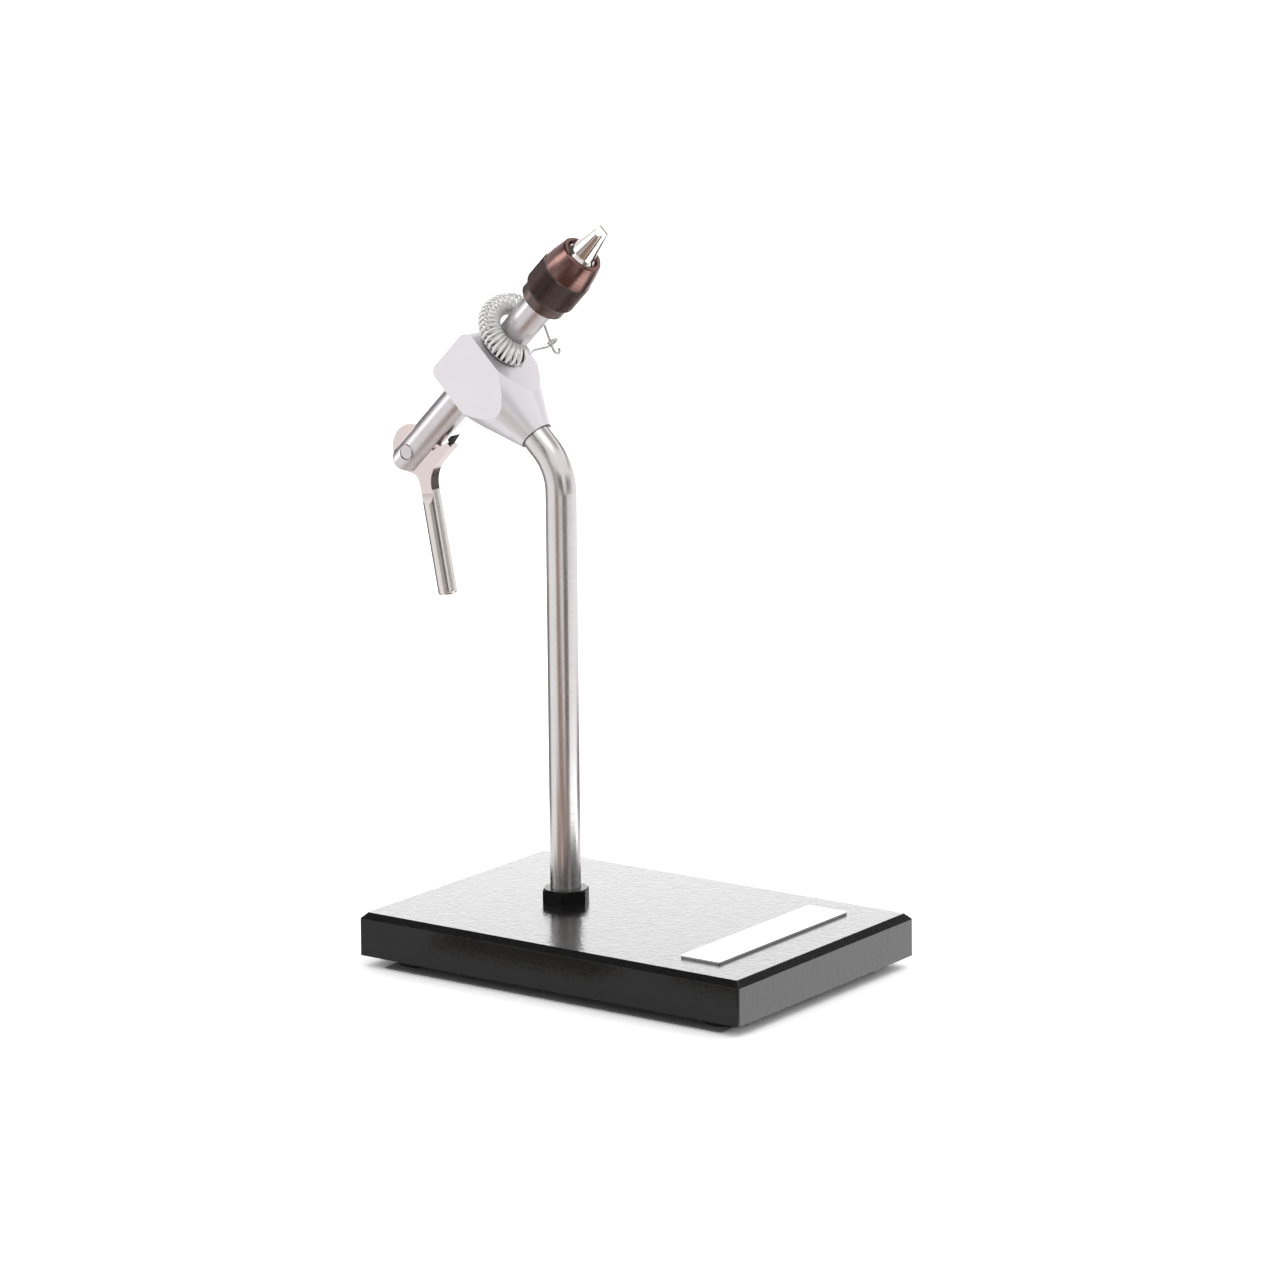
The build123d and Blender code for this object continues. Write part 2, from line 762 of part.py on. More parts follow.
throat_down = (throat_forward * math.cos(handle_tilt) + horn_low) / -math.sin(handle_tilt)
throat = on_handle(throat_down, throat_forward)
plate_end = handle_ledge + runout_radius / 4
with BuildPart() as cam_lever:
    with BuildSketch(pin_side) as plate:
        Polygon(
            on_handle(0, 0),
            (0, -cam_radius / 2),
            (horn_root, -horn_root_drop),
            (horn_reach, -horn_drop),
            (horn_reach, horn_low),
            throat,
            on_handle(plate_end, throat_forward),
            on_handle(plate_end, scoop_depth),
            align=None,
        )
        fillet(plate.vertices().sort_by_distance(throat)[0], throat_round)
        with Locations(cam_shift):
            Circle(cam_radius)
        fillet(plate.vertices().sort_by_distance(on_handle(cam_radius, 0))[0], waist_round)
    extrude(amount=half_plate, both=True)
    handle_foot = at(-pin_reach) + front_dir * handle_radius
    with BuildSketch(Plane(handle_foot + handle_dir * handle_ledge, front_dir, handle_dir)):
        Circle(handle_radius)
    extrude(amount=handle_reach - handle_ledge)
    fillet(cam_lever.faces().sort_by(Axis(at(-pin_reach), handle_dir))[-1].edges(), handle_end_round)
    for hand in (-1, 1):
        with BuildSketch(Plane(origin=handle_foot, x_dir=handle_dir, z_dir=front_dir)):
            with Locations((handle_shoulder, hand * (half_plate + runout_radius))):
                Circle(runout_radius)
                Rectangle(runout_radius, 2 * runout_radius, align=(Align.MAX, Align.CENTER))
        extrude(amount=handle_diameter, both=True, mode=Mode.SUBTRACT)
    with BuildSketch(pin_side):
        Circle(pin_shank_diameter / 2 + running)
    extrude(amount=half_plate, both=True, mode=Mode.SUBTRACT)
    with BuildSketch(pin_side):
        cam_arc = Edge.make_three_point_arc(cam_point(0), cam_point(0.5), cam_point(1))
        SlotArc(cam_arc, follower_diameter + 2 * sliding)
    extrude(amount=half_plate, both=True, mode=Mode.SUBTRACT)

# Stop pad on the end of the horn, its crest towards the barrel
pad_top = pad_lift - horn_drop
with BuildPart() as stop_pad:
    with BuildSketch(pin_side):
        Polygon(
            (horn_reach, pad_top),
            (horn_reach, pad_top - pad_height),
            (horn_reach + pad_length, pad_top - pad_height + pad_nose),
            (horn_reach + pad_crest, pad_top),
            align=None,
        )
    extrude(amount=pad_width / 2, both=True)

pieces = {
    "base_plate": base_plate,
    "rubber_feet": rubber_feet,
    "foot_screws": foot_screws,
    "name_plate": name_plate,
    "post": post,
    "jam_nut": jam_nut,
    "head": head,
    "front_bushing": front_bushing,
    "rear_bushing": rear_bushing,
    "tension_screw": tension_screw,
    "tension_tip": tension_tip,
    "post_screw": post_screw,
    "barrel": barrel,
    "lever_pin": lever_pin,
    "material_spring": material_spring,
    "collar": collar,
    "draw_bar": draw_bar,
    "follower_pin": follower_pin,
    "jaw_near": jaw_near,
    "jaw_far": jaw_far,
    "jaw_spring": jaw_spring,
    "cam_lever": cam_lever,
    "stop_pad": stop_pad,
}
os.makedirs("parts", exist_ok=True)
for name, piece in pieces.items():
    piece.part.label = name
    export_step(piece.part, f"parts/{name}.step")
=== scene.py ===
"""Looks of a fly tying vise on a pedestal base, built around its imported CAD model."""

import logging
import math
from collections.abc import Callable
from dataclasses import dataclass
from enum import Enum
from functools import cache

import bmesh
import bpy
from mathutils import Matrix, Vector
from mathutils.geometry import interpolate_bezier


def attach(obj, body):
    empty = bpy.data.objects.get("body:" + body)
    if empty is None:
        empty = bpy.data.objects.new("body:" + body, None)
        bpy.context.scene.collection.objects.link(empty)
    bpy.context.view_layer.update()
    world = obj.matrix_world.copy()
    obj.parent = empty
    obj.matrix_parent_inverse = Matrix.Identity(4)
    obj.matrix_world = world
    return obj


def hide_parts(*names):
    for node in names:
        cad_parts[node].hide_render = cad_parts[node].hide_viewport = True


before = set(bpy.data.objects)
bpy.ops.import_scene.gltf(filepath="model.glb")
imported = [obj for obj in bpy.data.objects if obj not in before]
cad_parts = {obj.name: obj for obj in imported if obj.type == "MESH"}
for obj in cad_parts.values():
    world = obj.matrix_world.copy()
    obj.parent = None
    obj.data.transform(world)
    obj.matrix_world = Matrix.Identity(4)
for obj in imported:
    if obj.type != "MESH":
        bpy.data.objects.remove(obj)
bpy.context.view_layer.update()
LOG = logging.getLogger("vise")

Colour = tuple[float, float, float]
Point = tuple[float, float, float]
Place = tuple[float, float]
Outline = tuple[Point, ...]
Tree = bpy.types.NodeTree
Socket = bpy.types.NodeSocket
Chooser = Callable[[Vector, Vector], bool]

# Shared measures of the meshes, in millimetres, degrees and counts
MM = 0.001
MERGE_GAP = 0.002
FLAT_TURN = 0.5
EDGE_SEGMENTS = 2
WIRE_ROUND = 3

# Shared measures of the finishes: the noise's usual range, then detail, shares and size of its two layers
NOISE_LOW = 0.3
NOISE_HIGH = 0.7
GRAIN_DETAIL = 3.0
GRAIN_SHARE = 0.4
PATCH_DETAIL = 2.0
PATCH_SHARE = 0.6
PATCH_SIZE = 12.0

# Slopes in the mid plane, in degrees
BARREL_TILT = 45.5
HANDLE_TILT = 101.0
UPRIGHT = 90.0


class Grain(Enum):
    """How the surface of a finish is worked, as stretches along and across its own axis."""

    EVEN = (1.0, 1.0)
    DRAWN = (40.0, 1.0)
    TURNED = (1.0, 40.0)


class Sum(Enum):
    """What a Math node does with its two inputs."""

    ADD = "ADD"
    MULTIPLY = "MULTIPLY"
    MAXIMUM = "MAXIMUM"
    LESS_THAN = "LESS_THAN"


def grey(tone: float) -> Colour:
    """A neutral colour."""
    return (tone, tone, tone)


def work_out(tree: Tree, step: Sum, first: Socket, second: Socket | float) -> Socket:
    """Adds a Math node.

    Args:
        tree: The nodes to add to.
        step: What the node does.
        first: Its first input.
        second: Its second input, a socket or a fixed value.

    Returns:
        The node's output.
    """
    node = tree.nodes.new("ShaderNodeMath")
    node.operation = step.value
    tree.links.new(first, node.inputs[0])
    if isinstance(second, float):
        node.inputs[1].default_value = second
    else:
        tree.links.new(second, node.inputs[1])
    return node.outputs["Value"]


def spread(tree: Tree, source: Socket, low: float, high: float) -> Socket:
    """Maps a noise's usual range onto two values.

    Args:
        tree: The nodes to add to.
        source: The noise.
        low: The value where the noise is low.
        high: The value where it is high.

    Returns:
        The mapped output.
    """
    ramp = tree.nodes.new("ShaderNodeMapRange")
    ramp.inputs["From Min"].default_value = NOISE_LOW
    ramp.inputs["From Max"].default_value = NOISE_HIGH
    ramp.inputs["To Min"].default_value = low
    ramp.inputs["To Max"].default_value = high
    tree.links.new(source, ramp.inputs["Value"])
    return ramp.outputs["Result"]


def mix_surface(tree: Tree, output: str, factor: Socket, first: Socket, second: Socket) -> None:
    """Mixes two shaders into the surface of a material or a world.

    Args:
        tree: The nodes to add to.
        output: The name of the output node.
        factor: 0 where the first shader shows, 1 where the second does.
        first: The first shader.
        second: The second shader.
    """
    mix = tree.nodes.new("ShaderNodeMixShader")
    tree.links.new(factor, mix.inputs["Fac"])
    tree.links.new(first, mix.inputs[1])
    tree.links.new(second, mix.inputs[2])
    tree.links.new(mix.outputs["Shader"], tree.nodes[output].inputs["Surface"])


@dataclass(frozen=True)
class Finish:
    """A finish as a node material: two tones in soft patches, with gloss and bump from a grain.

    The grain's size and depth are in millimetres, and tilt is the slope of its axis in the mid plane.
    """

    name: str
    colour: Colour
    shade: Colour
    roughness: tuple[float, float]
    size: float
    depth: float
    metallic: float = 1.0
    grain: Grain = Grain.EVEN
    tilt: float = 0.0
    specular: float = 0.5

    def noise(self, tree: Tree, stretch: Point, detail: float) -> Socket:
        """Adds one noise that is fixed to the piece.

        Args:
            tree: The material's nodes.
            stretch: The noise's size along its own three axes, in millimetres.
            detail: How many finer layers it has.

        Returns:
            The noise's output.
        """
        place = tree.nodes.new("ShaderNodeTexCoord")
        lay = tree.nodes.new("ShaderNodeMapping")
        lay.vector_type = "TEXTURE"
        lay.inputs["Rotation"].default_value = (0.0, -math.radians(self.tilt), 0.0)
        lay.inputs["Scale"].default_value = Vector(stretch) * MM
        tree.links.new(place.outputs["Object"], lay.inputs["Vector"])
        noise = tree.nodes.new("ShaderNodeTexNoise")
        noise.inputs["Scale"].default_value = 1.0
        noise.inputs["Detail"].default_value = detail
        tree.links.new(lay.outputs["Vector"], noise.inputs["Vector"])
        return noise.outputs["Fac"]

    @cache
    def material(self) -> bpy.types.Material:
        """Builds the node material, once for each finish.

        Returns:
            The material.
        """
        made = bpy.data.materials.new(f"{self.name}_finish")
        made.use_nodes = True
        tree = made.node_tree
        shader = tree.nodes["Principled BSDF"]
        shader.inputs["Metallic"].default_value = self.metallic
        shader.inputs["Specular IOR Level"].default_value = self.specular
        along, across = (self.size * share for share in self.grain.value)
        grain = self.noise(tree, (along, across, across), GRAIN_DETAIL)
        patch = self.noise(tree, (PATCH_SIZE, PATCH_SIZE, PATCH_SIZE), PATCH_DETAIL)
        patches = spread(tree, patch, 0.0, PATCH_SHARE)
        grains = spread(tree, grain, 0.0, GRAIN_SHARE)
        blend = tree.nodes.new("ShaderNodeMix")
        blend.data_type = "RGBA"
        blend.inputs["A"].default_value = (*self.colour, 1.0)
        blend.inputs["B"].default_value = (*self.shade, 1.0)
        tree.links.new(work_out(tree, Sum.ADD, patches, grains), blend.inputs["Factor"])
        tree.links.new(blend.outputs["Result"], shader.inputs["Base Color"])
        tree.links.new(spread(tree, grain, *self.roughness), shader.inputs["Roughness"])
        bump = tree.nodes.new("ShaderNodeBump")
        bump.inputs["Strength"].default_value = 1.0
        bump.inputs["Distance"].default_value = self.depth * MM
        tree.links.new(grain, bump.inputs["Height"])
        tree.links.new(bump.outputs["Normal"], shader.inputs["Normal"])
        return made


# Finishes of the stand
COAT_BLACK = Finish(
    "coat_black", colour=grey(0.006), shade=grey(0.009),
    roughness=(0.14, 0.22), size=1.6, depth=0.07, metallic=0.0, specular=0.3,
)
FOOT_RUBBER = Finish(
    "foot_rubber", colour=grey(0.008), shade=grey(0.014),
    roughness=(0.7, 0.85), size=0.5, depth=0.05, metallic=0.0,
)
ZINC = Finish(
    "zinc", colour=(0.5, 0.5, 0.51), shade=(0.42, 0.42, 0.44),
    roughness=(0.3, 0.45), size=0.4, depth=0.01,
)
STRIP_BRIGHT = Finish(
    "strip_bright", colour=(0.93, 0.93, 0.94), shade=(0.88, 0.88, 0.9),
    roughness=(0.3, 0.4), size=0.3, depth=0.004,
)
POST_STEEL = Finish(
    "post_steel", colour=(0.73, 0.705, 0.71), shade=(0.67, 0.635, 0.635),
    roughness=(0.21, 0.27), size=0.4, depth=0.002, grain=Grain.TURNED, tilt=UPRIGHT,
)
OXIDE_BLACK = Finish(
    "oxide_black", colour=grey(0.003), shade=grey(0.006),
    roughness=(0.25, 0.4), size=0.6, depth=0.02, metallic=0.0, specular=0.2,
)

# Finishes of the head
HEAD_ALUMINIUM = Finish(
    "head_aluminium", colour=(0.83, 0.8, 0.83), shade=(0.8, 0.77, 0.8),
    roughness=(0.34, 0.4), size=0.5, depth=0.003, metallic=0.6,
)
BUSHING_BLACK = Finish(
    "bushing_black", colour=grey(0.004), shade=grey(0.008),
    roughness=(0.4, 0.5), size=0.3, depth=0.01, metallic=0.0, specular=0.2,
    grain=Grain.TURNED, tilt=BARREL_TILT,
)
NYLON = Finish(
    "nylon", colour=(0.8, 0.79, 0.75), shade=(0.74, 0.73, 0.69),
    roughness=(0.45, 0.55), size=0.5, depth=0.01, metallic=0.0,
)

# Finishes of the barrel, its spring, the collar and the jaws
BARREL_STEEL = Finish(
    "barrel_steel", colour=(0.68, 0.65, 0.68), shade=(0.62, 0.58, 0.59),
    roughness=(0.26, 0.34), size=0.3, depth=0.003, grain=Grain.TURNED, tilt=BARREL_TILT,
)
SPRING_WIRE = Finish(
    "spring_wire", colour=(0.9, 0.9, 0.89), shade=(0.85, 0.85, 0.84),
    roughness=(0.36, 0.44), size=0.4, depth=0.002, metallic=0.7,
)
LINK_STEEL = Finish(
    "link_steel", colour=(0.66, 0.66, 0.65), shade=(0.58, 0.58, 0.57),
    roughness=(0.3, 0.4), size=0.4, depth=0.002,
)
COLLAR_BROWN = Finish(
    "collar_brown", colour=(0.21, 0.12, 0.108), shade=(0.15, 0.084, 0.075),
    roughness=(0.22, 0.28), size=0.3, depth=0.002, grain=Grain.TURNED, tilt=BARREL_TILT,
)
# Painted shade: a darker, greyer copy of the collar's brown for the knurl and the ring behind it
COLLAR_PAINTED_SHADE = Finish(
    "collar_painted_shade", colour=(0.165, 0.122, 0.116), shade=(0.125, 0.092, 0.086),
    roughness=(0.26, 0.34), size=0.3, depth=0.005, grain=Grain.TURNED, tilt=BARREL_TILT,
)
JAW_STEEL = Finish(
    "jaw_steel", colour=(0.78, 0.75, 0.73), shade=(0.72, 0.68, 0.65),
    roughness=(0.08, 0.13), size=0.3, depth=0.0005, grain=Grain.DRAWN, tilt=BARREL_TILT,
)

# Finishes of the lever; the dark one is painted shade, in the scoop and on the neck's end
LEVER_STEEL = Finish(
    "lever_steel", colour=(0.77, 0.67, 0.66), shade=(0.72, 0.62, 0.61),
    roughness=(0.14, 0.2), size=0.3, depth=0.001, grain=Grain.DRAWN, tilt=HANDLE_TILT,
)
HANDLE_STEEL = Finish(
    "handle_steel", colour=(0.74, 0.71, 0.69), shade=(0.68, 0.65, 0.62),
    roughness=(0.18, 0.24), size=0.3, depth=0.001, grain=Grain.DRAWN, tilt=HANDLE_TILT,
)
# Painted shade: a darker copy of the lever's steel for the runout into the handle
RUNOUT_PAINTED_SHADE = Finish(
    "runout_painted_shade", colour=(0.6, 0.54, 0.53), shade=(0.54, 0.48, 0.47),
    roughness=(0.5, 0.6), size=0.3, depth=0.002,
)
# Painted shade: a dark brownish tone for the scoop and the neck's end
PAINTED_SHADE_DARK = Finish(
    "painted_shade_dark", colour=(0.1, 0.083, 0.078), shade=(0.08, 0.066, 0.06),
    roughness=(0.3, 0.4), size=0.4, depth=0.01,
)
# Painted reflection: black for the pad at the horn's tip, where a dark reflection shows
PAD_PAINTED_REFLECTION = Finish(
    "pad_black", colour=grey(0.006), shade=grey(0.012),
    roughness=(0.55, 0.7), size=0.4, depth=0.03, metallic=0.0,
)


@dataclass
class Layout:
    """Directions and points of the vise that its pieces share, in millimetres."""

    bend: float = BARREL_TILT
    post_x: float = -28.6
    corner_z: float = 165.0
    neck_to_barrel: float = 42.9

    def along(self) -> Vector:
        """Unit vector along the barrel, to the jaws."""
        bend = math.radians(self.bend)
        return Vector((math.cos(bend), 0.0, math.sin(bend)))

    def above(self) -> Vector:
        """Unit vector up the neck, square to the barrel."""
        bend = math.radians(self.bend)
        return Vector((-math.sin(bend), 0.0, math.cos(bend)))

    def across(self) -> Vector:
        """Unit vector across the vise, to the far side."""
        return Vector((0.0, 1.0, 0.0))

    def at(self, s: float, t: float = 0.0, y: float = 0.0) -> Vector:
        """Point along the barrel, above it and across it.

        Args:
            s: Millimetres along the barrel from the head's middle.
            t: Millimetres above the barrel's axis.
            y: Millimetres across, to the far side.

        Returns:
            The point in metres.
        """
        middle = Vector((self.post_x, 0.0, self.corner_z)) + self.above() * self.neck_to_barrel
        return (middle + self.along() * s + self.above() * t + self.across() * y) * MM

    def measure(self, point: Vector) -> tuple[float, Vector]:
        """Finds where a point lies along the barrel and away from its axis.

        Args:
            point: The point in metres.

        Returns:
            Millimetres along the barrel from the head's middle, and the spoke to the point in metres.
        """
        spoke = point - self.at(0.0)
        s = spoke.dot(self.along()) / MM
        return s, spoke - self.along() * s * MM


LAYOUT = Layout()


def dress(piece: bpy.types.Object, finish: Finish) -> None:
    """Gives a piece one finish all over."""
    piece.data.materials.clear()
    piece.data.materials.append(finish.material())


def dress_nodes(**finishes: Finish) -> None:
    """Gives CAD nodes whose shape stays a finish each.

    Args:
        finishes: The finish of each node, by the node's name.
    """
    for node, finish in finishes.items():
        dress(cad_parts[node], finish)
        LOG.info("%s: dressed in %s", node, finish.name)


def touch(piece: bpy.types.Object, finish: Finish, chosen: Chooser) -> None:
    """Gives some faces of a piece a further finish.

    Args:
        piece: The dressed piece.
        finish: The further finish.
        chosen: Tells from a face's middle and normal whether it gets that finish.
    """
    piece.data.materials.append(finish.material())
    for face in piece.data.polygons:
        if chosen(face.center, face.normal):
            face.material_index = len(piece.data.materials) - 1


def settle(piece: bpy.types.Object, finish: Finish, body: str, nodes: list[str]) -> None:
    """Dresses a new piece, makes it ride on a body and stand for CAD nodes.

    Args:
        piece: The finished object.
        finish: Its finish.
        body: The CAD body that it moves with.
        nodes: The CAD nodes that it stands for.
    """
    dress(piece, finish)
    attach(piece, body)
    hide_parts(*nodes)
    LOG.info("%s: %d faces on %s", piece.name, len(piece.data.polygons), body)


def bevel(shape: bmesh.types.BMesh, edges: list[bmesh.types.BMEdge], width: float, segments: int) -> None:
    """Breaks edges to a width in millimetres, with a round of some segments."""
    bmesh.ops.bevel(
        shape,
        geom=edges,
        offset=width * MM,
        offset_type="OFFSET",
        affect="EDGES",
        segments=segments,
        profile=0.5,
        material=-1,
        clamp_overlap=True,
    )


def corners(shape: bmesh.types.BMesh, turn: float) -> list[bmesh.types.BMEdge]:
    """The edges whose two faces turn by more than a number of degrees."""
    limit = math.radians(turn)
    return [e for e in shape.edges if e.is_manifold and e.calc_face_angle() > limit]


def merge(shape: bmesh.types.BMesh) -> None:
    """Joins points that lie in the same place."""
    bmesh.ops.remove_doubles(shape, verts=shape.verts, dist=MERGE_GAP * MM)


def from_bmesh(shape: bmesh.types.BMesh, name: str, sharp: float = 32.0) -> bpy.types.Object:
    """Turns a bmesh into a smooth shaded object whose flat faces stay flat.

    Args:
        shape: The mesh being edited, which is freed.
        name: The new object's name.
        sharp: Edges that turn by more degrees than this stay sharp.

    Returns:
        The new object, at the origin.
    """
    mesh = bpy.data.meshes.new(name)
    shape.to_mesh(mesh)
    shape.free()
    mesh.shade_smooth()
    mesh.set_sharp_from_angle(angle=math.radians(sharp))
    made = bpy.data.objects.new(name, mesh)
    bpy.context.scene.collection.objects.link(made)
    level = made.modifiers.new("flat_faces", "WEIGHTED_NORMAL")
    level.keep_sharp = True
    return made


def softened(node: str, name: str, width: float, turn: float = 30.0) -> bpy.types.Object:
    """A copy of a CAD node with its sharp edges broken.

    Args:
        node: The CAD node to copy.
        name: The new piece's name.
        width: The broken edge's width in millimetres.
        turn: Edges that turn by more degrees than this are broken.

    Returns:
        The new object.
    """
    shape = bmesh.new()
    shape.from_mesh(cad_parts[node].data)
    merge(shape)
    flat = math.radians(FLAT_TURN)
    bmesh.ops.dissolve_limit(shape, angle_limit=flat, verts=shape.verts, edges=shape.edges)
    bevel(shape, corners(shape, turn), width, EDGE_SEGMENTS)
    return from_bmesh(shape, name)


def wire(name: str, route: list[Vector], diameter: float) -> bpy.types.Object:
    """A round wire along a route.

    Args:
        name: The new piece's name.
        route: The points of its middle line, in metres.
        diameter: The wire's diameter in millimetres.

    Returns:
        The wire as a mesh object.
    """
    line = bpy.data.curves.new(name, "CURVE")
    line.dimensions = "3D"
    line.bevel_depth = diameter / 2 * MM
    line.bevel_resolution = WIRE_ROUND
    line.use_fill_caps = True
    spline = line.splines.new("POLY")
    spline.points.add(len(route) - 1)
    for point, place in zip(spline.points, route):
        point.co = (*place, 1.0)
    guide = bpy.data.objects.new(name, line)
    mesh = bpy.data.meshes.new_from_object(guide)
    bpy.data.objects.remove(guide)
    mesh.shade_smooth()
    made = bpy.data.objects.new(name, mesh)
    bpy.context.scene.collection.objects.link(made)
    return made


@dataclass
class Stand:
    """Base plate, feet, name plate, post and nut, in millimetres and degrees."""

    length: float = 152.4
    width: float = 101.6
    thickness: float = 14.6
    foot_height: float = 3.8
    chamfer: float = 1.95
    corner_radius: float = 0.7
    corner_turn: float = 40.0
    edge: float = 0.4
    round_segments: int = 3
    flat_turn: float = 5.0
    strip_edge: float = 0.12
    nut_edge: float = 0.2
    nut_turn: float = 20.0

    def plate(self) -> bpy.types.Object:
        """The base plate, its upper edges chamfered and every corner soft from the coat.

        Returns:
            The new object.
        """
        shape = bmesh.new()
        bmesh.ops.create_cube(shape, size=MM)
        bmesh.ops.scale(shape, vec=(self.length, self.width, self.thickness), verts=shape.verts)
        middle = self.foot_height + self.thickness / 2
        bmesh.ops.translate(shape, vec=(0.0, 0.0, middle * MM), verts=shape.verts)
        rim = [e for e in shape.edges if min(v.co.z for v in e.verts) > middle * MM]
        bevel(shape, rim, self.chamfer, 1)
        uprights = [e for e in shape.edges if abs(e.verts[0].co.z - e.verts[1].co.z) > MM]
        bevel(shape, uprights, self.corner_radius, self.round_segments)
        bevel(shape, corners(shape, self.corner_turn), self.edge, self.round_segments)
        return from_bmesh(shape, "base_plate_coated", self.flat_turn)

    def build(self) -> None:
        """Builds the softened pieces and dresses the CAD nodes that stay."""
        settle(self.plate(), COAT_BLACK, "stand", ["base_plate"])
        strip = softened("name_plate", "name_plate_bare", self.strip_edge)
        settle(strip, STRIP_BRIGHT, "stand", ["name_plate"])
        nut = softened("jam_nut", "jam_nut_black", self.nut_edge, self.nut_turn)
        settle(nut, OXIDE_BLACK, "stand", ["jam_nut"])
        dress_nodes(post=POST_STEEL, rubber_feet=FOOT_RUBBER, foot_screws=ZINC)


@dataclass
class Head:
    """Milled head with its bushings and screws, in millimetres and degrees.

    facing is the least share of a face's normal that looks the way that its finish asks for.
    """

    edge: float = 0.2
    edge_turn: float = 14.0
    flange_edge: float = 0.5
    facing: float = 0.95

    def on_neck_end(self, middle: Vector, normal: Vector) -> bool:
        """Tells whether a face is the end of the neck round the post, which gets painted shade."""
        return normal.dot(LAYOUT.above()) < -self.facing

    def on_highlight_rim(self, middle: Vector, normal: Vector) -> bool:
        """Tells whether a face is on the flange's outer rim, which is painted light as a highlight."""
        _, spoke = LAYOUT.measure(middle)
        return spoke.normalized().dot(normal) > self.facing

    def build(self) -> None:
        """Builds the head and its flanged bushing, and dresses what sits in it."""
        block = softened("head", "head_milled", self.edge, self.edge_turn)
        settle(block, HEAD_ALUMINIUM, "stand", ["head"])
        # Painted shade: the neck's end round the post is coloured dark
        touch(block, PAINTED_SHADE_DARK, self.on_neck_end)
        flange = softened("front_bushing", "front_bushing_turned", self.flange_edge)
        settle(flange, BUSHING_BLACK, "stand", ["front_bushing"])
        # Painted highlight: the black flange's outer rim takes the head's light aluminium
        touch(flange, HEAD_ALUMINIUM, self.on_highlight_rim)
        dress_nodes(rear_bushing=BUSHING_BLACK, tension_screw=ZINC, post_screw=ZINC, tension_tip=NYLON)


